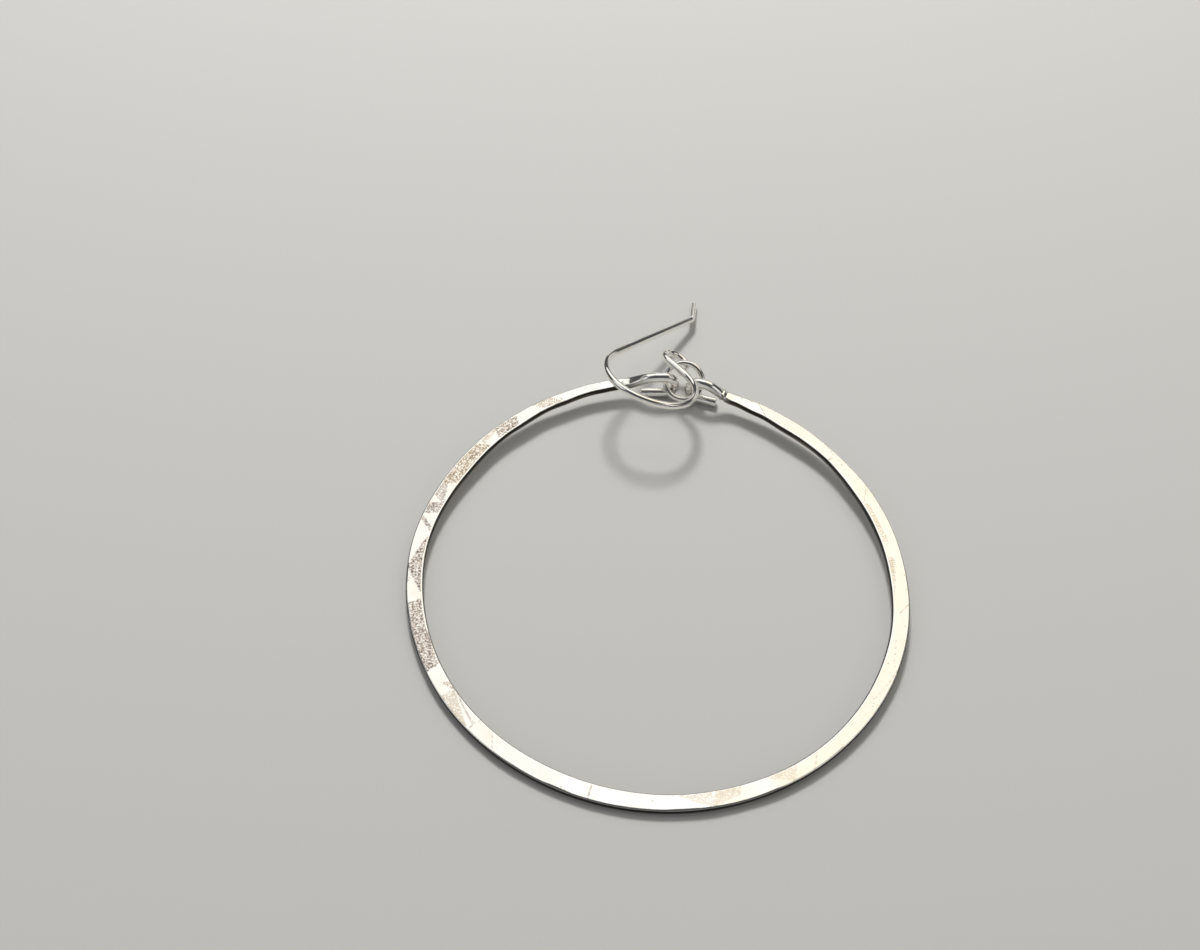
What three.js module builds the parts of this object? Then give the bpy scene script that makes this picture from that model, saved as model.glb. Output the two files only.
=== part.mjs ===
// A large hammered hoop earring on a French ear wire, lying flat on a surface.
// Millimetres, +Z up. The hoop lies in XY, its top (the ear wire's end) points along +Y.

import * as THREE from 'three';

// --- Driving dimensions ---------------------------------------------------------------------

const HOOP_RADIUS = 24.6;          // centre line of the flattened wire
const BAND_THICKNESS = 0.8;        // flattened wire, across the hoop's plane
const EYE_WIRE_DIAMETER = 1.16;    // the same wire, left round at its two ends
const EYE_BEND_RADIUS = 1.3;       // centre line of each eye's bends
const RING_WIRE_DIAMETER = 0.7;
const RING_RADIUS = 2.18;          // centre line of the jump ring
const EAR_WIRE_DIAMETER = 0.8;

const HOOP_WIRE_SIDES = 12;        // corners of the hoop wire's cross-section
const THIN_WIRE_SIDES = 10;        // corners of the ring's and the ear wire's cross-sections

// --- Small helpers --------------------------------------------------------------------------

const lerp = THREE.MathUtils.lerp;
const radians = THREE.MathUtils.degToRad;

function silver(roughness) {
  return new THREE.MeshStandardMaterial({ color: 0xd9d4c8, roughness, metalness: 1 });
}

function point(x, y, z) {
  return new THREE.Vector3(x, y, z);
}

function smoothstep(t) {
  return t * t * (3 - 2 * t);
}

// Whole numbers 0 ... count as shares 0 ... 1.
function shares(count) {
  return Array.from({ length: count + 1 }, (_, i) => i / count);
}

// --- A wire whose cross-section changes along its length --------------------------------------

// One ring of corners, from round (flatness 0) towards square-cornered (flatness 1).
function sectionCorners(width, thickness, flatness) {
  const power = 1 - flatness;
  const bulge = (value) => Math.sign(value) * Math.abs(value) ** power;
  return shares(HOOP_WIRE_SIDES).slice(1).map((share) => {
    const angle = 2 * Math.PI * (share + 0.5 / HOOP_WIRE_SIDES);
    return {
      across: (width / 2) * bulge(Math.cos(angle)),
      up: (thickness / 2) * bulge(Math.sin(angle)),
    };
  });
}

// stations are rows of { centre, outward, width, thickness, flatness } along the wire; outward
// is roughly the direction of the section's width.
function wireThrough(stations) {
  const positions = [];
  const triangles = [];
  const last = stations.length - 1;
  stations.forEach((station, row) => {
    const before = stations[Math.max(row - 1, 0)].centre;
    const after = stations[Math.min(row + 1, last)].centre;
    const along = after.clone().sub(before).normalize();
    const up = new THREE.Vector3().crossVectors(along, station.outward).normalize();
    const across = new THREE.Vector3().crossVectors(up, along);
    for (const corner of sectionCorners(station.width, station.thickness, station.flatness)) {
      const place = station.centre.clone();
      place.addScaledVector(across, corner.across).addScaledVector(up, corner.up);
      positions.push(...place);
    }
  });
  for (let row = 0; row < last; row++) {
    for (let side = 0; side < HOOP_WIRE_SIDES; side++) {
      const a = row * HOOP_WIRE_SIDES + side;
      const b = row * HOOP_WIRE_SIDES + ((side + 1) % HOOP_WIRE_SIDES);
      triangles.push(a, b, b + HOOP_WIRE_SIDES, a, b + HOOP_WIRE_SIDES, a + HOOP_WIRE_SIDES);
    }
  }
  for (let side = 1; side < HOOP_WIRE_SIDES - 1; side++) {
    const end = last * HOOP_WIRE_SIDES;
    triangles.push(0, side + 1, side, end, end + side, end + side + 1);
  }
  const geometry = new THREE.BufferGeometry();
  geometry.setAttribute('position', new THREE.Float32BufferAttribute(positions, 3));
  geometry.setIndex(triangles);
  geometry.computeVertexNormals();
  return geometry;
}

// --- The hoop -------------------------------------------------------------------------------

// The hand-hammered hoop is not quite a circle. Angles are degrees clockwise from the top,
// radius is a share of HOOP_RADIUS and width is the flattened wire's, in mm.
const HOOP_SHAPE = [
  { angle: 14, radius: 1.013, width: 1.22 },
  { angle: 22, radius: 1.006, width: 1.55 },
  { angle: 31, radius: 0.998, width: 1.72 },
  { angle: 43, radius: 0.998, width: 1.48 },
  { angle: 58, radius: 0.996, width: 1.84 },
  { angle: 80, radius: 0.997, width: 1.77 },
  { angle: 102, radius: 1.004, width: 1.65 },
  { angle: 135, radius: 1.002, width: 1.38 },
  { angle: 162, radius: 0.998, width: 1.55 },
  { angle: 190, radius: 0.998, width: 1.6 },
  { angle: 228, radius: 1.004, width: 1.58 },
  { angle: 262, radius: 1.004, width: 1.7 },
  { angle: 292, radius: 0.99, width: 1.85 },
  { angle: 311, radius: 1.0, width: 1.67 },
  { angle: 325, radius: 1.014, width: 1.4 },
  { angle: 337, radius: 1.03, width: 1.3 },
  { angle: 344, radius: 1.035, width: 1.22 },
];
const HOOP_STEPS = 104;
const BAND_FLATNESS = 0.68;

// Each eye is the wire's end bent over and back under in an upright plane. Distances run from
// the hoop's middle line along x, and the plane stands at y there, leaning back by slope.
const EYES = {
  right: { side: 1, y: 25.3, slope: -0.17, inner: 0.8, arch: 2.6, cut: 4.2 },
  left: { side: -1, y: 25.55, slope: -0.17, inner: 0.8, arch: 3.1, cut: 4.8 },
};
const EYE_STEPS = { tail: 3, bend: 14, arch: 2, rise: 8 };

// The hoop's radius and width at an angle, eased from one row of the table to the next.
function hoopShapeAt(angle) {
  const next = Math.max(1, HOOP_SHAPE.findIndex((row) => row.angle >= angle));
  const a = HOOP_SHAPE[next - 1];
  const b = HOOP_SHAPE[next];
  const t = smoothstep((angle - a.angle) / (b.angle - a.angle));
  return { radius: HOOP_RADIUS * lerp(a.radius, b.radius, t), width: lerp(a.width, b.width, t) };
}

function bandStations() {
  const first = HOOP_SHAPE[0].angle;
  const final = HOOP_SHAPE[HOOP_SHAPE.length - 1].angle;
  return shares(HOOP_STEPS).map((share) => {
    const angle = lerp(first, final, share);
    const { radius, width } = hoopShapeAt(angle);
    const outward = point(Math.sin(radians(angle)), Math.cos(radians(angle)), 0);
    return {
      centre: outward.clone().multiplyScalar(radius),
      outward,
      width,
      thickness: BAND_THICKNESS,
      flatness: BAND_FLATNESS,
    };
  });
}

// From the cut end under the eye, around its bend and over the arch, as far as the rise.
function eyeStations({ side, y, slope, inner, arch, cut }) {
  const bend = inner + EYE_BEND_RADIUS;
  const low = -EYE_BEND_RADIUS;
  const profile = [
    ...shares(EYE_STEPS.tail).map((share) => ({ x: lerp(cut, bend, share), z: low })),
    ...shares(EYE_STEPS.bend).slice(1).map((share) => ({
      x: bend - EYE_BEND_RADIUS * Math.sin(Math.PI * share),
      z: low * Math.cos(Math.PI * share),
    })),
    ...shares(EYE_STEPS.arch).slice(1).map((share) => ({ x: lerp(bend, arch, share), z: -low })),
  ];
  const outward = point(side * -slope, 1, 0).normalize();
  return profile.map(({ x, z }) => ({
    centre: point(side * x, y + slope * x, z),
    outward,
    width: EYE_WIRE_DIAMETER,
    thickness: EYE_WIRE_DIAMETER,
    flatness: 0,
  }));
}

// The cubic curve that leaves the start and reaches the end in the given directions.
function easedCurve(start, leaving, end, arriving) {
  const pull = start.distanceTo(end) / 3;
  const control = start.clone().addScaledVector(leaving, pull);
  const lastControl = end.clone().addScaledVector(arriving, -pull);
  return new THREE.CubicBezierCurve3(start, control, lastControl, end);
}

// The wire comes down from the arch to the hoop's plane while it flattens. Each argument is the
// last or first two stations of its run, in the order the wire passes them.
function riseStations([beforeArchEnd, arch], [band, afterBandStart]) {
  const leaving = arch.centre.clone().sub(beforeArchEnd.centre).normalize();
  const arriving = afterBandStart.centre.clone().sub(band.centre).normalize();
  const curve = easedCurve(arch.centre, leaving, band.centre, arriving);
  return shares(EYE_STEPS.rise).slice(1, -1).map((share) => ({
    centre: curve.getPoint(share),
    outward: arch.outward.clone().lerp(band.outward, share).normalize(),
    width: lerp(arch.width, band.width, share),
    thickness: lerp(arch.thickness, band.thickness, share),
    flatness: lerp(arch.flatness, band.flatness, share),
  }));
}

function hoopGeometry() {
  const right = eyeStations(EYES.right);
  const left = eyeStations(EYES.left);
  const band = bandStations();
  const rightRise = riseStations(right.slice(-2), band.slice(0, 2));
  const leftRise = riseStations(left.slice(-2), band.slice(-2).reverse());
  return wireThrough([
    ...right,
    ...rightRise,
    ...band,
    ...leftRise.reverse(),
    ...left.reverse(),
  ]);
}

// --- The jump ring --------------------------------------------------------------------------

// The ring leans up and away from flat by lean degrees, and its right side is lifted by roll.
const JUMP_RING = { x: 0.11, y: 25.7, z: 0.48, lean: 33.1, roll: 2.7 };
const RING_STEPS = 40;

function jumpRing() {
  const wire = RING_WIRE_DIAMETER / 2;
  const geometry = new THREE.TorusGeometry(RING_RADIUS, wire, THIN_WIRE_SIDES, RING_STEPS);
  const ring = new THREE.Mesh(geometry, silver(0.18));
  ring.name = 'jump_ring';
  ring.position.set(JUMP_RING.x, JUMP_RING.y, JUMP_RING.z);
  ring.rotation.set(radians(JUMP_RING.lean), radians(-JUMP_RING.roll), 0, 'YXZ');
  return ring;
}

// --- The ear wire ---------------------------------------------------------------------------

// The wire's main run from the small loop to the tip, laid flat. Each row is a straight of that
// length or a bend of that radius through turn degrees, positive to the left.
const EAR_WIRE_RUN = [
  { name: 'leg', length: 2.6 },
  { name: 'lower turn', radius: 4.45, turn: -127.6 },
  { name: 'long bow', radius: 6.58, turn: -37.3 },
  { name: 'upper turn', radius: 5.01, turn: -97.3 },
  { name: 'tail', length: 15.3 },
  { name: 'kick bend', radius: 1, turn: 31.9 },
  { name: 'kick', length: 3.8 },
];

// The loop curls away from the start of the leg, sinking by drop on its way round.
const SMALL_LOOP = { radius: 1.5, turn: 290, drop: 1.08 };
const EAR_WIRE_STEPS = 120;

// Where the start of the leg lies in the hoop's frame, and how the flat run is turned there.
const EAR_WIRE_PLACE = { x: -1.92, y: 26.81, z: 2.49, heading: -41.4, roll: -19.7 };

function runLength({ length, radius, turn }) {
  return length ?? radius * Math.abs(radians(turn));
}

class EarWirePath extends THREE.Curve {
  getPoint(share, target = new THREE.Vector3()) {
    const loopLength = SMALL_LOOP.radius * radians(SMALL_LOOP.turn);
    const wholeLength = EAR_WIRE_RUN.reduce((sum, row) => sum + runLength(row), loopLength);
    const along = share * wholeLength - loopLength;
    return along < 0 ? this.pointOnLoop(-along, target) : this.pointOnRun(along, target);
  }

  pointOnLoop(distance, target) {
    const { radius, turn, drop } = SMALL_LOOP;
    const angle = distance / radius;
    const sunk = drop * smoothstep(angle / radians(turn));
    return target.set(-radius * Math.sin(angle), radius * (1 - Math.cos(angle)), -sunk);
  }

  pointOnRun(distance, target) {
    let heading = 0;
    let left = distance;
    target.set(0, 0, 0);
    for (const row of EAR_WIRE_RUN) {
      const step = Math.min(left, runLength(row));
      if (row.length) {
        target.add(point(Math.cos(heading) * step, Math.sin(heading) * step, 0));
      } else {
        const bent = Math.sign(row.turn) * (step / row.radius);
        const chord = 2 * row.radius * Math.sin(Math.abs(bent) / 2);
        const middle = heading + bent / 2;
        target.add(point(Math.cos(middle) * chord, Math.sin(middle) * chord, 0));
        heading += bent;
      }
      left -= step;
    }
    return target;
  }
}

function earWire() {
  const section = new THREE.Shape();
  section.absarc(0, 0, EAR_WIRE_DIAMETER / 2, 0, 2 * Math.PI);
  const geometry = new THREE.ExtrudeGeometry(section, {
    extrudePath: new EarWirePath(),
    steps: EAR_WIRE_STEPS,
    curveSegments: THIN_WIRE_SIDES / 2,
    bevelEnabled: false,
  });
  const wire = new THREE.Mesh(geometry, silver(0.15));
  wire.name = 'ear_wire';
  wire.position.set(EAR_WIRE_PLACE.x, EAR_WIRE_PLACE.y, EAR_WIRE_PLACE.z);
  wire.rotation.set(radians(EAR_WIRE_PLACE.roll), 0, radians(EAR_WIRE_PLACE.heading), 'ZYX');
  return wire;
}

// --- The whole earring, lying down ------------------------------------------------------------

// The eyes reach below the hoop's plane, so the hoop leans on them and on its far edge.
const EYE_UNDERSIDE = EYE_BEND_RADIUS + EYE_WIRE_DIAMETER / 2;
const EYE_DISTANCE = EYES.right.y + HOOP_RADIUS;
const LYING_TILT = Math.atan((EYE_UNDERSIDE - BAND_THICKNESS / 2) / EYE_DISTANCE);

const hoop = new THREE.Mesh(hoopGeometry(), silver(0.3));
hoop.name = 'hoop';

const lying = new THREE.Group();
lying.rotation.x = LYING_TILT;
lying.add(hoop, jumpRing(), earWire());

const earring = new THREE.Group();
earring.add(lying);

// The origin is the middle of the bottom of the whole earring's box.
const box = new THREE.Box3().setFromObject(earring, true);
const middle = box.getCenter(new THREE.Vector3());
lying.position.set(-middle.x, -middle.y, -box.min.z);

export default earring;
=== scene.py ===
"""A hammered silver hoop earring on a French ear wire, lying on a pale surface.

Sizes are in millimetres in the earring's own flat frame: the hoop lies in XY around the
origin and its top, with the ear wire, points along +Y. to_frame() puts them in the CAD frame.
"""

import math

import bpy
import numpy as np
from mathutils import Matrix, Vector


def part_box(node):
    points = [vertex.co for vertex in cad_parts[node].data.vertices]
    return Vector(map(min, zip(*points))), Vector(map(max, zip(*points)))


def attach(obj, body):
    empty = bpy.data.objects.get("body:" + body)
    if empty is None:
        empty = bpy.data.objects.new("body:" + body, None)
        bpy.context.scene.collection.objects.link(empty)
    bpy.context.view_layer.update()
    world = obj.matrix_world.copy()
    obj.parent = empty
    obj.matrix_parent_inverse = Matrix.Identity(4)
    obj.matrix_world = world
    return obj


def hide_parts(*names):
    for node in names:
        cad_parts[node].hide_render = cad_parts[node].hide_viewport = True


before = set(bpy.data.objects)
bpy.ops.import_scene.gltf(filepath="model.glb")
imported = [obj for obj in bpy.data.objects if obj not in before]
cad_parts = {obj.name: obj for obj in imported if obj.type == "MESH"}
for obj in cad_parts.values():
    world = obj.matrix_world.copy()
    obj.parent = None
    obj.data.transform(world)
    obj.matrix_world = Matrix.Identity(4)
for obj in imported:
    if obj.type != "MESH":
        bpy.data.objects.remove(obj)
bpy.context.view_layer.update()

# --- Driving dimensions, as in the CAD ---------------------------------------------------------

HOOP_RADIUS = 24.6
BAND_THICKNESS = 0.8
EYE_WIRE_DIAMETER = 1.16
EYE_BEND_RADIUS = 1.3
RING_WIRE_DIAMETER = 0.7
RING_RADIUS = 2.18
EAR_WIRE_DIAMETER = 0.8

# The hoop's outline. Angles are degrees clockwise from the top, radius is a share of
# HOOP_RADIUS and width is the flattened wire's.
HOOP_SHAPE = [
    {"angle": 14, "radius": 1.013, "width": 1.22},
    {"angle": 22, "radius": 1.006, "width": 1.55},
    {"angle": 31, "radius": 0.998, "width": 1.72},
    {"angle": 43, "radius": 0.998, "width": 1.48},
    {"angle": 58, "radius": 0.996, "width": 1.84},
    {"angle": 80, "radius": 0.997, "width": 1.77},
    {"angle": 102, "radius": 1.004, "width": 1.65},
    {"angle": 135, "radius": 1.002, "width": 1.38},
    {"angle": 162, "radius": 0.998, "width": 1.55},
    {"angle": 190, "radius": 0.998, "width": 1.6},
    {"angle": 228, "radius": 1.004, "width": 1.58},
    {"angle": 262, "radius": 1.004, "width": 1.7},
    {"angle": 292, "radius": 0.99, "width": 1.85},
    {"angle": 311, "radius": 1.0, "width": 1.67},
    {"angle": 325, "radius": 1.014, "width": 1.4},
    {"angle": 337, "radius": 1.03, "width": 1.3},
    {"angle": 344, "radius": 1.035, "width": 1.22},
]

EYES = {
    "right": {"side": 1, "y": 25.3, "slope": -0.17, "inner": 0.8, "arch": 2.6, "cut": 4.2},
    "left": {"side": -1, "y": 25.55, "slope": -0.17, "inner": 0.8, "arch": 3.1, "cut": 4.8},
}

JUMP_RING = {"x": 0.11, "y": 25.7, "z": 0.48, "lean": 33.1, "roll": 2.7}

EAR_WIRE_RUN = [
    {"name": "leg", "length": 2.6},
    {"name": "lower turn", "radius": 4.45, "turn": -127.6},
    {"name": "long bow", "radius": 6.58, "turn": -37.3},
    {"name": "upper turn", "radius": 5.01, "turn": -97.3},
    {"name": "tail", "length": 15.3},
    {"name": "kick bend", "radius": 1, "turn": 31.9},
    {"name": "kick", "length": 3.8},
]
SMALL_LOOP = {"radius": 1.5, "turn": 290, "drop": 1.08}
EAR_WIRE_PLACE = {"x": -1.92, "y": 26.81, "z": 2.49, "heading": -41.4, "roll": -19.7}

# --- How fine the meshes are, and how their edges are shaped -----------------------------------

BAND_STEP = 0.14
WIRE_STEP = 0.09
ROUND_SIDES = 28
CORNER_POINTS = 4
FACE_POINTS = 11
SIDE_POINTS = 3
CORNER_RADIUS = 0.13
SIDE_BULGE = 0.05
END_ROUNDING = 0.22
# About the flattened wire's length around its section, for its wire coordinates.
AROUND_BAND = 4.4

# --- Hammering, finish and painted reflection --------------------------------------------------

# One dish for every spacing along the wire, each felt as far as reach. A dish is a shallow bowl
# of radius dish, sunk by up to depth and tilted at random. A place is within jitter of its own
# stretch and within side of the middle. Creases are marked where two dishes differ by less than
# crease.
STRIKE = {
    "spacing": 2.4,
    "reach": 9.0,
    "jitter": (0.1, 0.9),
    "side": 0.7,
    "dish": 60.0,
    "tilt_along": 0.022,
    "tilt_across": 0.04,
    "depth": 0.02,
    "crease": 0.0025,
}
# The tool mark on the right, from_band before the flattened wire starts: a ridge between two
# notches, as shares of the wire's size. The notches are notch_at lengths from the ridge.
NICK = {"from_band": 1.3, "ridge": 0.1, "notch": 0.09, "notch_at": 2, "length": 0.16}

# Dull patches on the top face: a rougher finish, with painted reflection darkening their colour
# to brown and tan. Angles are along the hoop, and lean is how many degrees
# further on each end lies at the hoop's outside than in the middle. Edge heights go from -1 at
# the hoop's inside to +1 at its outside, at the patch's start and end.
PATCH_COLUMNS = ("start", "end", "lean", "low", "high", "dull", "tan")
PATCHES = [
    (46, 50, 3.0, (0.3, 0.9), (0.5, 0.9), 0.3, 0.5),
    (62, 74, 0.0, (-0.9, -0.9), (-0.3, -0.1), 0.4, 0.9),
    (79, 90, 0.5, (-0.9, -0.9), (0.0, -0.7), 0.45, 0.7),
    (94, 110, 1.0, (-0.2, -0.9), (0.5, 1.0), 0.14, 0.9),
    (110, 127, 1.0, (-1.0, -1.0), (1.0, 1.0), 0.16, 0.9),
    (143, 151, 1.0, (-1.0, -1.0), (1.0, -0.9), 0.32, 0.9),
    (156, 162, 1.0, (-1.0, -1.0), (0.1, 0.9), 0.35, 0.9),
    (162, 169, 0.0, (-1.0, -1.0), (0.9, -0.6), 0.35, 0.9),
    (217, 226, 0.4, (0.7, -1.0), (1.0, 1.0), 0.45, 0.9),
    (226, 229, 0.8, (-1.0, -1.0), (-0.9, 0.1), 0.6, 0.5),
    (233, 251, -0.3, (-1.0, -1.0), (1.0, 1.0), 0.85, 0.25),
    (253, 260, 0.5, (-1.0, -1.0), (-0.8, 0.9), 0.95, 0.1),
    (260, 270, 0.5, (-1.0, -1.0), (0.9, -0.8), 0.95, 0.25),
    (272.2, 273.4, 1.9, (-1.0, -1.0), (1.0, 1.0), 0.9, 0.1),
    (276, 279.5, -0.7, (-1.0, -1.0), (1.0, 1.0), 0.75, 0.0),
    (280.5, 286, 1.2, (-1.0, 0.2), (1.0, 1.0), 0.55, 0.1),
    (286, 301, -1.2, (-1.0, -1.0), (1.0, 0.8), 0.75, 0.9),
    (301, 307, 1.0, (-0.2, 0.5), (1.0, 1.0), 0.45, 0.8),
    (306, 313, 1.0, (-0.8, -0.8), (1.0, 0.6), 0.85, 0.4),
    (320, 325.5, -1.4, (-0.6, -1.0), (1.0, 1.0), 0.5, 0.7),
]

# The patches stop short of the burnished edges, at this share of the half width.
PATCH_REACH = 0.84
# Past this share of the half thickness a point is on the top or bottom face.
FACE_FROM = 0.6
# Past the share "from" of the half width a point is on the wall. The painted reflection on the wall
# fades out towards the share "ends" of the half thickness.
WALL = {"from": 0.93, "ends": 1.02, "sharpness": 6}

rng = np.random.default_rng(7)


# --- Small helpers -----------------------------------------------------------------------------


def lerp(a, b, t):
    return a + (b - a) * t


def smoothstep(t):
    t = np.clip(t, 0, 1)
    return t * t * (3 - 2 * t)


def unit(v):
    return v / np.linalg.norm(v, axis=-1, keepdims=True)


def steps_for(length, step):
    return max(2, int(round(length / step)))


def shares(count):
    return np.linspace(0, 1, count + 1)


def travelled(centres):
    """Distance along a line of points, from its first one."""
    gaps = np.linalg.norm(np.diff(centres, axis=0), axis=1)
    return np.concatenate([[0], np.cumsum(gaps)])


# --- From the flat frame to the CAD frame ------------------------------------------------------

EYE_UNDERSIDE = EYE_BEND_RADIUS + EYE_WIRE_DIAMETER / 2
LYING_TILT = math.atan((EYE_UNDERSIDE - BAND_THICKNESS / 2) / (EYES["right"]["y"] + HOOP_RADIUS))


def ring_turn():
    lean = Matrix.Rotation(math.radians(JUMP_RING["lean"]), 4, "X")
    roll = Matrix.Rotation(math.radians(-JUMP_RING["roll"]), 4, "Y")
    return roll @ lean


def lying_matrix():
    """Leans the flat frame back by LYING_TILT and moves the jump ring onto the CAD's ring."""
    tilt = Matrix.Rotation(LYING_TILT, 4, "X")
    ring_centre = tilt @ Vector((JUMP_RING["x"], JUMP_RING["y"], JUMP_RING["z"]))
    low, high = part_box("jump_ring")
    shift = (low + high) / 2 * 1000 - ring_centre
    return Matrix.Scale(0.001, 4) @ Matrix.Translation(shift) @ tilt


TO_FRAME = lying_matrix()


def to_frame(x, y, z):
    return TO_FRAME @ Vector((x, y, z))


def add_piece(name, points, faces, node, material, uvs, attributes=None):
    """A smooth-shaded mesh from points in the flat frame, standing for a CAD node."""
    turn = np.array(TO_FRAME)
    placed = points @ turn[:3, :3].T + turn[:3, 3]
    mesh = bpy.data.meshes.new(name)
    mesh.from_pydata(placed.tolist(), [], faces)
    mesh.polygons.foreach_set("use_smooth", [True] * len(mesh.polygons))
    for key, values in (attributes or {}).items():
        layer = mesh.attributes.new(key, "FLOAT", "POINT")
        layer.data.foreach_set("value", np.asarray(values, np.float32))
    layer = mesh.uv_layers.new(name="wire")
    corner = np.zeros(len(mesh.loops), np.int32)
    mesh.loops.foreach_get("vertex_index", corner)
    layer.data.foreach_set("uv", np.asarray(uvs, np.float32)[corner].ravel())
    mesh.materials.append(material)
    mesh.validate()
    piece = bpy.data.objects.new(name, mesh)
    bpy.context.scene.collection.objects.link(piece)
    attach(piece, "root")
    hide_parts(node)
    return piece


def tube_faces(rows, sides, closed=False):
    """Quads between rows of points around a wire, and a fan on each open end."""
    faces = []
    for row in range(rows if closed else rows - 1):
        after = (row + 1) % rows
        for side in range(sides):
            turn = (side + 1) % sides
            faces.append(
                (row * sides + side, row * sides + turn, after * sides + turn, after * sides + side)
            )
    if not closed:
        faces.append(tuple(range(sides - 1, -1, -1)))
        faces.append(tuple((rows - 1) * sides + side for side in range(sides)))
    return faces


def wire_coordinates(distance, around):
    """Each point's distance along the wire and around it, in millimetres."""
    return np.stack([np.repeat(distance, len(around)), np.tile(around, len(distance))], axis=1)


# --- The hoop ----------------------------------------------------------------------------------


def hoop_shape_at(angle):
    angles = np.array([row["angle"] for row in HOOP_SHAPE], float)
    after = np.clip(np.searchsorted(angles, angle), 1, len(angles) - 1)
    t = smoothstep((angle - angles[after - 1]) / (angles[after] - angles[after - 1]))
    found = []
    for key in ("radius", "width"):
        values = np.array([row[key] for row in HOOP_SHAPE], float)
        found.append(lerp(values[after - 1], values[after], t))
    return found[0] * HOOP_RADIUS, found[1]


def stations(centre, outward, width, thickness, flatness):
    """Places along a wire, with the direction of its width and its section's sizes."""
    count = len(centre)
    sizes = {"width": width, "thickness": thickness, "flatness": flatness}
    run = {key: np.broadcast_to(value, (count,)).astype(float) for key, value in sizes.items()}
    run["centre"] = centre
    run["outward"] = unit(np.broadcast_to(outward, (count, 3)).astype(float))
    return run


def joined(runs):
    return {key: np.concatenate([run[key] for run in runs]) for key in runs[0]}


def reverse(run):
    return {key: value[::-1] for key, value in run.items()}


def band_stations():
    first, last = HOOP_SHAPE[0]["angle"], HOOP_SHAPE[-1]["angle"]
    count = steps_for(HOOP_RADIUS * math.radians(last - first), BAND_STEP)
    angle = lerp(first, last, shares(count))
    radius, width = hoop_shape_at(angle)
    turn = np.radians(angle)
    outward = np.stack([np.sin(turn), np.cos(turn), np.zeros_like(turn)], axis=1)
    run = stations(outward * radius[:, None], outward, width, BAND_THICKNESS, 1)
    return run, angle


def eye_stations(side, y, slope, inner, arch, cut):
    """From the cut end under the eye, around its bend and over the arch."""
    bend = inner + EYE_BEND_RADIUS
    tail = shares(steps_for(cut - bend, WIRE_STEP))
    around = shares(steps_for(math.pi * EYE_BEND_RADIUS, WIRE_STEP))[1:]
    over = shares(steps_for(arch - bend, WIRE_STEP))[1:]
    x = np.concatenate([
        lerp(cut, bend, tail),
        bend - EYE_BEND_RADIUS * np.sin(math.pi * around),
        lerp(bend, arch, over),
    ])
    z = EYE_BEND_RADIUS * np.concatenate([
        np.full_like(tail, -1),
        -np.cos(math.pi * around),
        np.full_like(over, 1),
    ])
    centre = np.stack([side * x, y + slope * x, z], axis=1)
    outward = (side * -slope, 1, 0)
    return stations(centre, outward, EYE_WIRE_DIAMETER, EYE_WIRE_DIAMETER, 0)


def rise_stations(arch, band):
    """The wire comes down from the arch to the hoop's plane while it flattens."""
    a = {key: value[-1] for key, value in arch.items()}
    b = {key: value[0] for key, value in band.items()}
    leaving = unit(arch["centre"][-1] - arch["centre"][-2])
    arriving = unit(band["centre"][1] - band["centre"][0])
    span = np.linalg.norm(b["centre"] - a["centre"])
    share = shares(steps_for(span, WIRE_STEP))[1:-1]
    centre = eased_curve(a["centre"], leaving * span, b["centre"], arriving * span, share)
    outward = lerp(a["outward"], b["outward"], share[:, None])
    sizes = [lerp(a[key], b[key], share) for key in ("width", "thickness", "flatness")]
    return stations(centre, outward, *sizes)


def eased_curve(start, leaving, end, arriving, share):
    """Points on the cubic that leaves start and reaches end in the given directions."""
    t = share[:, None]
    return (
        (2 * t**3 - 3 * t**2 + 1) * start
        + (t**3 - 2 * t**2 + t) * leaving
        + (3 * t**2 - 2 * t**3) * end
        + (t**3 - t**2) * arriving
    )


def section_points(run):
    """Corners of each station's section, from round to a flattened wire's rounded oblong."""
    half_width = run["width"][:, None] / 2
    half_height = run["thickness"][:, None] / 2
    flat_width = half_width - CORNER_RADIUS
    flat_height = half_height - CORNER_RADIUS
    corner = np.linspace(0, math.pi / 2, CORNER_POINTS)[None, :]
    face = np.linspace(1, -1, FACE_POINTS + 2)[None, 1:-1]
    wall = np.linspace(1, -1, SIDE_POINTS + 2)[None, 1:-1]
    bulge = SIDE_BULGE * (1 - wall**2)
    columns = []
    for quarter, (sx, sz) in enumerate(((1, 1), (-1, 1), (-1, -1), (1, -1))):
        turn = corner + quarter * math.pi / 2
        columns.append((
            sx * flat_width + CORNER_RADIUS * np.cos(turn),
            sz * flat_height + CORNER_RADIUS * np.sin(turn),
        ))
        if quarter in (0, 2):
            columns.append((sx * face * flat_width, sz * half_height + 0 * face))
        else:
            columns.append((sx * (half_width + bulge), -sx * wall * flat_height))
    across = np.concatenate([c[0] + 0 * half_width for c in columns], axis=1)
    up = np.concatenate([c[1] + 0 * half_width for c in columns], axis=1)
    count = across.shape[1]
    first = (SIDE_POINTS + 1) / 2 / count
    turn = 2 * math.pi * (first + np.arange(count) / count)
    flatness = run["flatness"][:, None]
    across = lerp(half_width * np.cos(turn), across, flatness)
    up = lerp(half_height * np.sin(turn), up, flatness)
    return across, up


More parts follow.
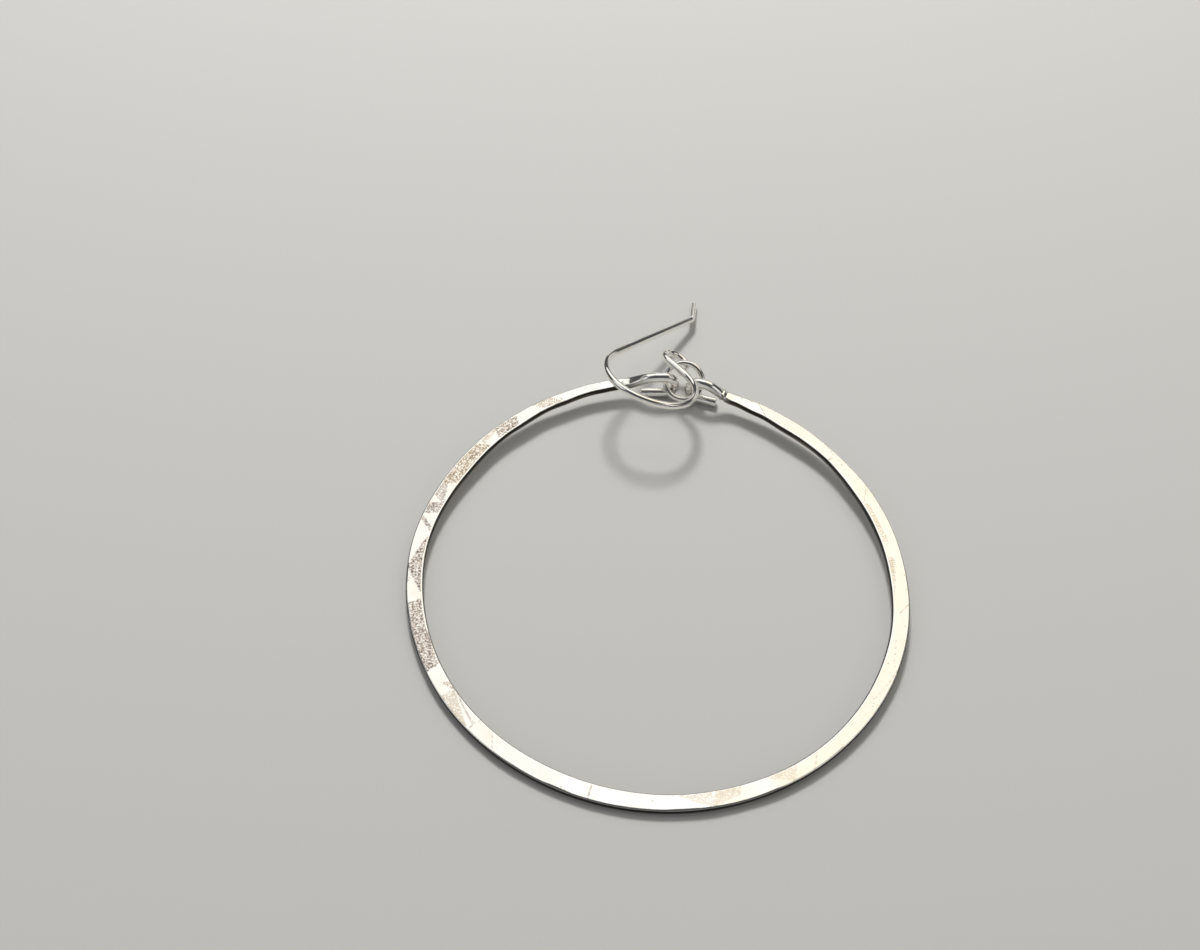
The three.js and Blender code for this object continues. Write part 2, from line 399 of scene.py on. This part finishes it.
def hammered(distance, across, length):
    """How far the hammer pushed the face down: the lowest of many shallow tilted dishes.

    Also says, from 0 to 1, how near each point is to the crease between two dishes.
    """
    count = int(length / STRIKE["spacing"])
    place = (np.arange(count) + rng.uniform(*STRIKE["jitter"], count)) * length / count
    side = rng.uniform(-STRIKE["side"], STRIKE["side"], count)
    tilt_along = rng.normal(0, STRIKE["tilt_along"], count)
    tilt_across = rng.normal(0, STRIKE["tilt_across"], count)
    depth = rng.uniform(0, STRIKE["depth"], count)
    lowest = np.zeros_like(across)
    second = np.zeros_like(across)
    for i in range(count):
        near = np.abs(distance - place[i]) < STRIKE["reach"]
        ds = (distance[near] - place[i])[:, None]
        dt = across[near] - side[i]
        dish = (ds**2 + dt**2) / (2 * STRIKE["dish"])
        level = dish - depth[i] + tilt_along[i] * ds + tilt_across[i] * dt
        before = lowest[near]
        second[near] = np.minimum(second[near], np.maximum(level, before))
        lowest[near] = np.minimum(before, level)
    crease = np.clip(1 - (second - lowest) / STRIKE["crease"], 0, 1) * (second < 0)
    return lowest, crease


def patch_marks(angle, height):
    """How dull and how tan the top face is at each point."""
    dull = np.zeros_like(height)
    tan = np.zeros_like(height)
    for values in PATCHES:
        patch = dict(zip(PATCH_COLUMNS, values))
        at = angle[:, None] - patch["lean"] * height
        t = (at - patch["start"]) / (patch["end"] - patch["start"])
        inside = (t >= 0) & (t <= 1) & (np.abs(height) < PATCH_REACH)
        inside = inside & (height >= lerp(*patch["low"], t)) & (height <= lerp(*patch["high"], t))
        dull[inside] = patch["dull"]
        tan[inside] = patch["tan"]
    return dull, tan


def tool_mark(distance):
    """How much larger the wire is there, as a share: a ridge with a notch on each side."""
    step = distance / NICK["length"]
    before = np.exp(-((step + NICK["notch_at"]) ** 2))
    after = np.exp(-((step - NICK["notch_at"]) ** 2))
    return NICK["ridge"] * np.exp(-(step**2)) - NICK["notch"] * (before + after)


def hoop_wire():
    """The whole wire's stations, the distance and the band angle at each, and the band's start."""
    band, angle = band_stations()
    right = eye_stations(**EYES["right"])
    left = reverse(eye_stations(**EYES["left"]))
    right_rise = rise_stations(right, band)
    left_rise = reverse(rise_stations(reverse(left), reverse(band)))
    wire = joined([right, right_rise, band, left_rise, left])
    distance = travelled(wire["centre"])
    first = len(right["width"]) + len(right_rise["width"])
    angle_at = np.interp(distance, distance[first:first + len(angle)], angle)
    return wire, distance, angle_at, distance[first]


def finish_marks(angle, across, level, top, crease, flat):
    """What the material needs to know at each point of the hammered wire."""
    dull, tan = patch_marks(angle, across)
    fade = np.clip(WALL["sharpness"] * (WALL["ends"] - np.abs(level)), 0, 1)
    marks = {
        "dull": dull * top * flat,
        "tan": tan * top,
        "wall": flat * (np.abs(across) > WALL["from"]) * fade,
        "level": level,
        "crease": crease * top * flat,
    }
    return {key: values.ravel() for key, values in marks.items()}


def hoop_piece(material):
    wire, distance, angle, band_start = hoop_wire()
    along = unit(np.gradient(wire["centre"], axis=0))
    up = unit(np.cross(along, wire["outward"]))
    out = np.cross(up, along)
    across, height = section_points(wire)
    half_width = wire["width"][:, None] / 2
    half_thickness = wire["thickness"][:, None] / 2
    flat = wire["flatness"][:, None]

    top = height > FACE_FROM * half_thickness
    bottom = height < -FACE_FROM * half_thickness
    top_dents, crease = hammered(distance, across, distance[-1])
    bottom_dents, _ = hammered(distance, across, distance[-1])
    height = height + flat * (top * top_dents - bottom * bottom_dents)
    swell = 1 + tool_mark(distance - (band_start - NICK["from_band"]))[:, None]
    across = across * swell
    height = height * swell

    points = (
        wire["centre"][:, None, :]
        + across[:, :, None] * out[:, None, :]
        + height[:, :, None] * up[:, None, :]
    )
    rows, sides = across.shape
    level = height / half_thickness
    marks = finish_marks(angle, across / half_width, level, top, crease, flat)
    uvs = wire_coordinates(distance, np.arange(sides) / sides * AROUND_BAND)
    faces = tube_faces(rows, sides)
    return add_piece(
        "hammered_hoop", points.reshape(-1, 3), faces, "hoop", material,
        uvs, marks,
    )


# --- Round wires -------------------------------------------------------------------------------

# Where a carried frame starts: any direction that isn't along the wire there.
FIRST_SIDE = np.array([0.1, 0.2, 1.0])
# Keeps a square root above zero at a wire's very end.
TINY = 1e-6


def carried_frames(centres, start):
    """Two directions across a line of points, carried along it without twisting."""
    along = unit(np.gradient(centres, axis=0))
    side = np.zeros_like(centres)
    side[0] = unit(start - along[0] * (start @ along[0]))
    for i in range(1, len(centres)):
        kept = side[i - 1] - along[i] * (side[i - 1] @ along[i])
        side[i] = unit(kept)
    return side, np.cross(along, side)


def rounded_ends(distance, radius):
    """The wire's radius at each distance, less near its two ends."""
    width = np.full(len(distance), float(radius))
    for reach in (distance, distance[-1] - distance):
        inside = reach < END_ROUNDING
        bite = END_ROUNDING - reach[inside]
        width[inside] -= END_ROUNDING - np.sqrt(np.maximum(END_ROUNDING**2 - bite**2, TINY))
    return width


def section_angles():
    return 2 * math.pi * np.arange(ROUND_SIDES) / ROUND_SIDES


def round_wire(centres, radius):
    """Points, faces and wire coordinates of a round wire whose ends are rounded over."""
    distance = travelled(centres)
    side, other = carried_frames(centres, FIRST_SIDE)
    width = rounded_ends(distance, radius)
    turn = section_angles()
    ring = (
        np.cos(turn)[None, :, None] * side[:, None, :]
        + np.sin(turn)[None, :, None] * other[:, None, :]
    )
    points = centres[:, None, :] + width[:, None, None] * ring
    faces = tube_faces(len(centres), ROUND_SIDES)
    return points.reshape(-1, 3), faces, wire_coordinates(distance, radius * turn)


def jump_ring_piece(material):
    count = steps_for(2 * math.pi * RING_RADIUS, WIRE_STEP)
    turn = 2 * math.pi * np.arange(count) / count
    ring = np.stack([np.cos(turn), np.sin(turn), np.zeros(count)], axis=1) * RING_RADIUS
    rotation = np.array(ring_turn().to_3x3())
    place = np.array([JUMP_RING["x"], JUMP_RING["y"], JUMP_RING["z"]])
    centres = ring @ rotation.T + place
    sides = section_angles()
    outward = ring / RING_RADIUS
    upright = np.array([0, 0, 1.0])
    section = (
        np.cos(sides)[None, :, None] * outward[:, None, :]
        + np.sin(sides)[None, :, None] * upright[None, None, :]
    )
    wire = RING_WIRE_DIAMETER / 2
    points = centres[:, None, :] + wire * (section @ rotation.T)
    uvs = wire_coordinates(turn * RING_RADIUS, sides * wire)
    faces = [face[::-1] for face in tube_faces(count, ROUND_SIDES, closed=True)]
    return add_piece(
        "jump_ring_polished", points.reshape(-1, 3), faces, "jump_ring", material,
        uvs,
    )


def run_length(row):
    return row.get("length") or row["radius"] * abs(math.radians(row["turn"]))


def ear_wire_line():
    """The ear wire's centre line, laid flat, from the small loop's cut end to the tip."""
    whole_turn = math.radians(SMALL_LOOP["turn"])
    count = steps_for(SMALL_LOOP["radius"] * whole_turn, WIRE_STEP)
    angle = whole_turn * shares(count)[:0:-1]
    aside = SMALL_LOOP["radius"] * (1 - np.cos(angle))
    back = -SMALL_LOOP["radius"] * np.sin(angle)
    sunk = SMALL_LOOP["drop"] * smoothstep(angle / whole_turn)
    line = [np.stack([back, aside, -sunk], axis=1)]
    place = np.zeros(2)
    heading = 0.0
    for row in EAR_WIRE_RUN:
        share = shares(steps_for(run_length(row), WIRE_STEP))[:-1]
        if "length" in row:
            ahead = np.array([math.cos(heading), math.sin(heading)])
            flat = place + row["length"] * share[:, None] * ahead
            place = place + row["length"] * ahead
        else:
            turn = math.radians(row["turn"])
            radius = row["radius"] * math.copysign(1, turn)
            aside = np.array([-math.sin(heading), math.cos(heading)])
            middle = place + radius * aside
            swept = heading + turn * share
            flat = middle + radius * np.stack([np.sin(swept), -np.cos(swept)], axis=1)
            heading += turn
            place = middle + radius * np.array([math.sin(heading), -math.cos(heading)])
        line.append(np.column_stack([flat, np.zeros(len(flat))]))
    line.append(np.array([[place[0], place[1], 0.0]]))
    return np.concatenate(line)


def ear_wire_piece(material):
    place = EAR_WIRE_PLACE
    heading = Matrix.Rotation(math.radians(place["heading"]), 3, "Z")
    roll = Matrix.Rotation(math.radians(place["roll"]), 3, "X")
    turn = np.array(heading @ roll)
    centres = ear_wire_line() @ turn.T + np.array([place["x"], place["y"], place["z"]])
    points, faces, uvs = round_wire(centres, EAR_WIRE_DIAMETER / 2)
    return add_piece(
        "ear_wire_polished", points, faces, "ear_wire", material, uvs
    )


# --- Materials ---------------------------------------------------------------------------------


class Nodes:
    """A short way to add nodes to a material and link them."""

    def __init__(self, name):
        self.material = bpy.data.materials.new(name)
        self.material.use_nodes = True
        self.tree = self.material.node_tree
        self.tree.nodes.clear()
        self.shader = self.add("ShaderNodeBsdfPrincipled")
        output = self.add("ShaderNodeOutputMaterial")
        self.tree.links.new(self.shader.outputs[0], output.inputs[0])

    def add(self, kind, **settings):
        node = self.tree.nodes.new(kind)
        for key, value in settings.items():
            setattr(node, key, value)
        return node

    def put(self, node, socket, value):
        if isinstance(value, bpy.types.NodeSocket):
            self.tree.links.new(value, node.inputs[socket])
        else:
            node.inputs[socket].default_value = value

    def attribute(self, name):
        return self.add("ShaderNodeAttribute", attribute_name=name).outputs["Fac"]

    def wire_uv(self, along, around, turn):
        """Wire coordinates: x runs along the wire and y around it, in millimetres."""
        uv = self.add("ShaderNodeUVMap", uv_map="wire").outputs[0]
        mapping = self.add("ShaderNodeMapping")
        self.put(mapping, "Vector", uv)
        self.put(mapping, "Rotation", (0, 0, math.radians(turn)))
        self.put(mapping, "Scale", (along, around, 1))
        return mapping.outputs[0]

    def texture(self, name):
        """Noise laid out in wire coordinates, as TEXTURES says."""
        row = TEXTURES[name]
        node = self.add("ShaderNodeTexNoise")
        self.put(node, "Vector", self.wire_uv(row["along"], row["around"], row["turn"]))
        self.put(node, "Scale", row["scale"])
        self.put(node, "Detail", row["detail"])
        self.put(node, "Roughness", row["roughness"])
        return node.outputs["Fac"]

    def ramp(self, value, low, high, start=0.0, end=1.0):
        node = self.add("ShaderNodeMapRange")
        for socket, given in enumerate((value, low, high, start, end)):
            self.put(node, socket, given)
        return node.outputs[0]

    def maths(self, operation, a, b=0.0):
        node = self.add("ShaderNodeMath", operation=operation)
        self.put(node, 0, a)
        self.put(node, 1, b)
        return node.outputs[0]

    def mix(self, share, a, b):
        node = self.add("ShaderNodeMix", data_type="RGBA")
        self.put(node, "Factor", share)
        self.put(node, 6, (*a, 1) if isinstance(a, tuple) else a)
        self.put(node, 7, (*b, 1) if isinstance(b, tuple) else b)
        return node.outputs[2]

    def bump(self, height, distance, strength):
        node = self.add("ShaderNodeBump")
        self.put(node, "Height", height)
        self.put(node, "Distance", distance)
        self.put(node, "Strength", strength)
        return node.outputs[0]


# Noises along and around the wire; scales are per millimetre and turns are degrees.
TEXTURE_COLUMNS = ("along", "around", "turn", "scale", "detail", "roughness")
TEXTURE_ROWS = {
    "grain": (1, 1, 0, 5, 4, 0.8),
    "blotch": (1, 1.3, 0, 1.4, 3, 0.55),
    "strokes": (7, 0.8, 14, 1.5, 3, 0.55),
    "cloud": (0.35, 0.6, 0, 0.8, 3, 0.55),
    "streak": (0.12, 5, 0, 1.4, 2, 0.55),
    "polish_cloud": (0.6, 1.0, 0, 0.9, 3, 0.55),
    "drawn_lines": (0.25, 14, 0, 1.2, 2, 0.55),
}
TEXTURES = {name: dict(zip(TEXTURE_COLUMNS, row)) for name, row in TEXTURE_ROWS.items()}

# The finest relief, in metres: worn grain and strokes on the hoop, draw lines on the wires.
HOOP_RELIEF = {"distance": 0.00002, "strength": 0.6}
DRAWN_RELIEF = {"distance": 0.000006, "strength": 0.5}
STROKE_SHARE = 0.25

SILVER = (0.97, 0.96, 0.93)
SILVER_WARM = (0.96, 0.9, 0.78)
DULL_DARK = (0.075, 0.055, 0.05)
# Painted reflection on the dull patches, from brown to tan.
PATCH_REFLECTION_BROWN = (0.62, 0.54, 0.5)
PATCH_REFLECTION_TAN = (0.76, 0.63, 0.47)
# Painted reflection on the wall: dark near the top face, brown lower down.
WALL_REFLECTION_DARK = (0.03, 0.026, 0.022)
WALL_REFLECTION_BROWN = (0.4, 0.34, 0.28)
# Painted shade along the creases between facets.
CREASE_SHADE = (0.4, 0.32, 0.25)
FLOOR_PALE = (0.6, 0.595, 0.585)


def clean_tone(n, blotch, cloud):
    """Bright silver, warmer in clouds, with painted shade darkening the creases between facets."""
    tone = n.mix(n.ramp(cloud, 0.45, 0.75, 0, 0.6), SILVER, SILVER_WARM)
    crease = n.maths("MULTIPLY", n.attribute("crease"), n.ramp(blotch, 0.4, 0.55, 0.25, 0.9))
    return n.mix(crease, tone, CREASE_SHADE)


def dull_patch_with_reflection(n, dull, grain, blotch):
    """Dull, rougher patches with painted reflection darkening them brown to tan, speckled with dark
    pits and bright spots; the dullest patches have most pits.
    """
    speckle = n.maths("ADD", grain, n.ramp(blotch, 0.3, 0.7, -0.06, 0.06))
    pit = n.ramp(speckle, 0.49, 0.42)
    spot = n.ramp(speckle, 0.51, 0.58)
    tone = n.mix(spot, n.mix(n.attribute("tan"), PATCH_REFLECTION_BROWN, PATCH_REFLECTION_TAN), SILVER)
    return n.mix(n.maths("MULTIPLY", pit, n.ramp(dull, 0.2, 1, 0.1, 1)), tone, DULL_DARK)


def painted_wall_reflection(n):
    """Painted reflection on the wire's wall: dark near the top face and brown lower down."""
    streak = n.ramp(n.texture("streak"), 0.3, 0.7, -0.35, 0.35)
    reflected_dark_band = n.ramp(n.maths("ADD", n.attribute("level"), streak), -0.55, 0.1)
    return n.mix(reflected_dark_band, WALL_REFLECTION_BROWN, WALL_REFLECTION_DARK)


def hammered_silver():
    n = Nodes("hammered_silver")
    dull = n.attribute("dull")
    grain = n.texture("grain")
    blotch = n.texture("blotch")
    cloud = n.texture("cloud")

    clean = clean_tone(n, blotch, cloud)
    dull_with_reflection = dull_patch_with_reflection(n, dull, grain, blotch)
    cover = n.ramp(n.maths("ADD", dull, n.ramp(grain, 0.3, 0.7, -0.15, 0.15)), 0.08, 0.6)
    # The wall gets painted reflection in place of the silver's own colour.
    colour = n.mix(n.attribute("wall"), n.mix(cover, clean, dull_with_reflection), painted_wall_reflection(n))

    rough = n.maths("ADD", n.ramp(dull, 0, 1, 0.12, 0.22), n.ramp(cloud, 0.3, 0.7, -0.02, 0.05))
    strokes = n.maths("MULTIPLY", n.texture("strokes"), STROKE_SHARE)
    relief = n.maths("ADD", n.maths("MULTIPLY", grain, dull), strokes)
    n.put(n.shader, "Base Color", colour)
    n.put(n.shader, "Metallic", 1.0)
    n.put(n.shader, "Roughness", rough)
    n.put(n.shader, "Normal", n.bump(relief, **HOOP_RELIEF))
    return n.material


def polished_silver():
    n = Nodes("polished_silver")
    cloud = n.texture("polish_cloud")
    colour = n.mix(n.ramp(cloud, 0.45, 0.8, 0, 0.9), SILVER, SILVER_WARM)
    n.put(n.shader, "Base Color", colour)
    n.put(n.shader, "Metallic", 1.0)
    n.put(n.shader, "Roughness", n.ramp(cloud, 0.3, 0.7, 0.06, 0.14))
    n.put(n.shader, "Normal", n.bump(n.texture("drawn_lines"), **DRAWN_RELIEF))
    return n.material


def pale_floor():
    n = Nodes("pale_floor")
    n.put(n.shader, "Base Color", (*FLOOR_PALE, 1))
    n.put(n.shader, "Roughness", 0.85)
    n.put(n.shader, "Specular IOR Level", 0.2)
    return n.material


# --- Floor, lights and camera ------------------------------------------------------------------

# In metres.
FLOOR_HALF_SIZE = 3.0


def add_floor(material):
    size = FLOOR_HALF_SIZE
    corners = [(-size, -size, 0), (size, -size, 0), (size, size, 0), (-size, size, 0)]
    mesh = bpy.data.meshes.new("floor")
    mesh.from_pydata(corners, [], [(0, 1, 2, 3)])
    mesh.materials.append(material)
    floor = bpy.data.objects.new("floor", mesh)
    bpy.context.scene.collection.objects.link(floor)


def softbox(
    name, azimuth, elevation, distance, size, radiance, colour, shift=0.0, in_reflections=True
):
    """An area light that faces the hoop's middle, then moves aside by shift.

    Azimuth 0 is along +Y and 90 along +X.
    """
    light = bpy.data.lights.new(name, "AREA")
    light.shape = "RECTANGLE"
    light.size, light.size_y = size
    light.energy = radiance * math.pi * size[0] * size[1]
    light.color = colour
    lamp = bpy.data.objects.new(name, light)
    bpy.context.scene.collection.objects.link(lamp)
    a, e = math.radians(azimuth), math.radians(elevation)
    way = Vector((math.sin(a) * math.cos(e), math.cos(a) * math.cos(e), math.sin(e)))
    sideways = Vector((math.cos(a), -math.sin(a), 0))
    lamp.location = to_frame(0, 0, 0) + way * distance + sideways * shift
    lamp.rotation_mode = "QUATERNION"
    lamp.rotation_quaternion = way.to_track_quat("Z", "Y")
    lamp.visible_camera = False
    lamp.visible_glossy = in_reflections
    return lamp


# The even light from all around.
ROOM = {"colour": (0.75, 0.76, 0.8, 1), "strength": 0.1}

# Azimuths are clockwise from the far side, in degrees. Sizes, distances and shifts to the right
# are metres. The three window panes stand side by side in one plane, edge to edge.
SOFTBOXES = [
    {"name": "window_left", "azimuth": -5, "elevation": 57, "distance": 0.5, "shift": -0.186,
     "size": (0.285, 0.5), "radiance": 0.97, "colour": (1.0, 0.99, 0.94)},
    {"name": "window_middle", "azimuth": -5, "elevation": 57, "distance": 0.5, "shift": 0.018,
     "size": (0.12, 0.5), "radiance": 1.1, "colour": (1.0, 0.998, 0.97)},
    {"name": "window_right", "azimuth": -5, "elevation": 57, "distance": 0.5, "shift": 0.22,
     "size": (0.28, 0.5), "radiance": 1.03, "colour": (1.0, 0.95, 0.81)},
    {"name": "left_fill", "azimuth": -105, "elevation": 40, "distance": 0.5,
     "size": (0.3, 0.3), "radiance": 0.7, "colour": (0.97, 0.97, 1.0)},
    {"name": "right_fill", "azimuth": 100, "elevation": 40, "distance": 0.5,
     "size": (0.3, 0.3), "radiance": 0.7, "colour": (1.0, 0.96, 0.9)},
    {"name": "low_back", "azimuth": 20, "elevation": 10, "distance": 0.7,
     "size": (0.9, 0.1), "radiance": 0.8, "colour": (1.0, 0.97, 0.92)},
    {"name": "front_fill", "azimuth": 180, "elevation": 16, "distance": 0.8,
     "size": (1.6, 0.34), "radiance": 0.45, "colour": (0.99, 0.985, 1.0)},
    {"name": "key", "azimuth": -14, "elevation": 50, "distance": 0.6, "in_reflections": False,
     "size": (0.12, 0.12), "radiance": 50, "colour": (1.0, 0.985, 0.96)},
]


def add_lights():
    world = bpy.data.worlds.new("studio")
    world.use_nodes = True
    background = world.node_tree.nodes["Background"]
    background.inputs["Color"].default_value = ROOM["colour"]
    background.inputs["Strength"].default_value = ROOM["strength"]
    bpy.context.scene.world = world
    for lamp in SOFTBOXES:
        softbox(**lamp)


# The camera looks down at the hoop from the near side. Its place and directions are in the flat
# frame. Clip_start is in metres.
CAMERA = {
    "place": (1.01, -55.43, 87.04),
    "right": (0.9886, 0.1495, 0.016),
    "up": (-0.1281, 0.7833, 0.608),
    "lens": 30.0,
    "sensor": 36.0,
    "clip_start": 0.001,
}


def add_camera():
    data = bpy.data.cameras.new("camera")
    data.lens = CAMERA["lens"]
    data.sensor_width = CAMERA["sensor"]
    data.clip_start = CAMERA["clip_start"]
    camera = bpy.data.objects.new("camera", data)
    bpy.context.scene.collection.objects.link(camera)
    right = Vector(CAMERA["right"]).normalized()
    back = right.cross(Vector(CAMERA["up"])).normalized()
    up = back.cross(right)
    turn = Matrix((right, up, back)).transposed()
    camera.rotation_mode = "QUATERNION"
    camera.rotation_quaternion = (TO_FRAME.to_3x3().normalized() @ turn).to_quaternion()
    camera.location = to_frame(*CAMERA["place"])
    bpy.context.scene.camera = camera


def set_picture():
    view = bpy.context.scene.view_settings
    view.view_transform = "Standard"
    view.look = "None"


# --- The scene ---------------------------------------------------------------------------------

hammered_finish = hammered_silver()
polished_finish = polished_silver()
hoop_piece(hammered_finish)
jump_ring_piece(polished_finish)
ear_wire_piece(polished_finish)
add_floor(pale_floor())
add_lights()
add_camera()
set_picture()
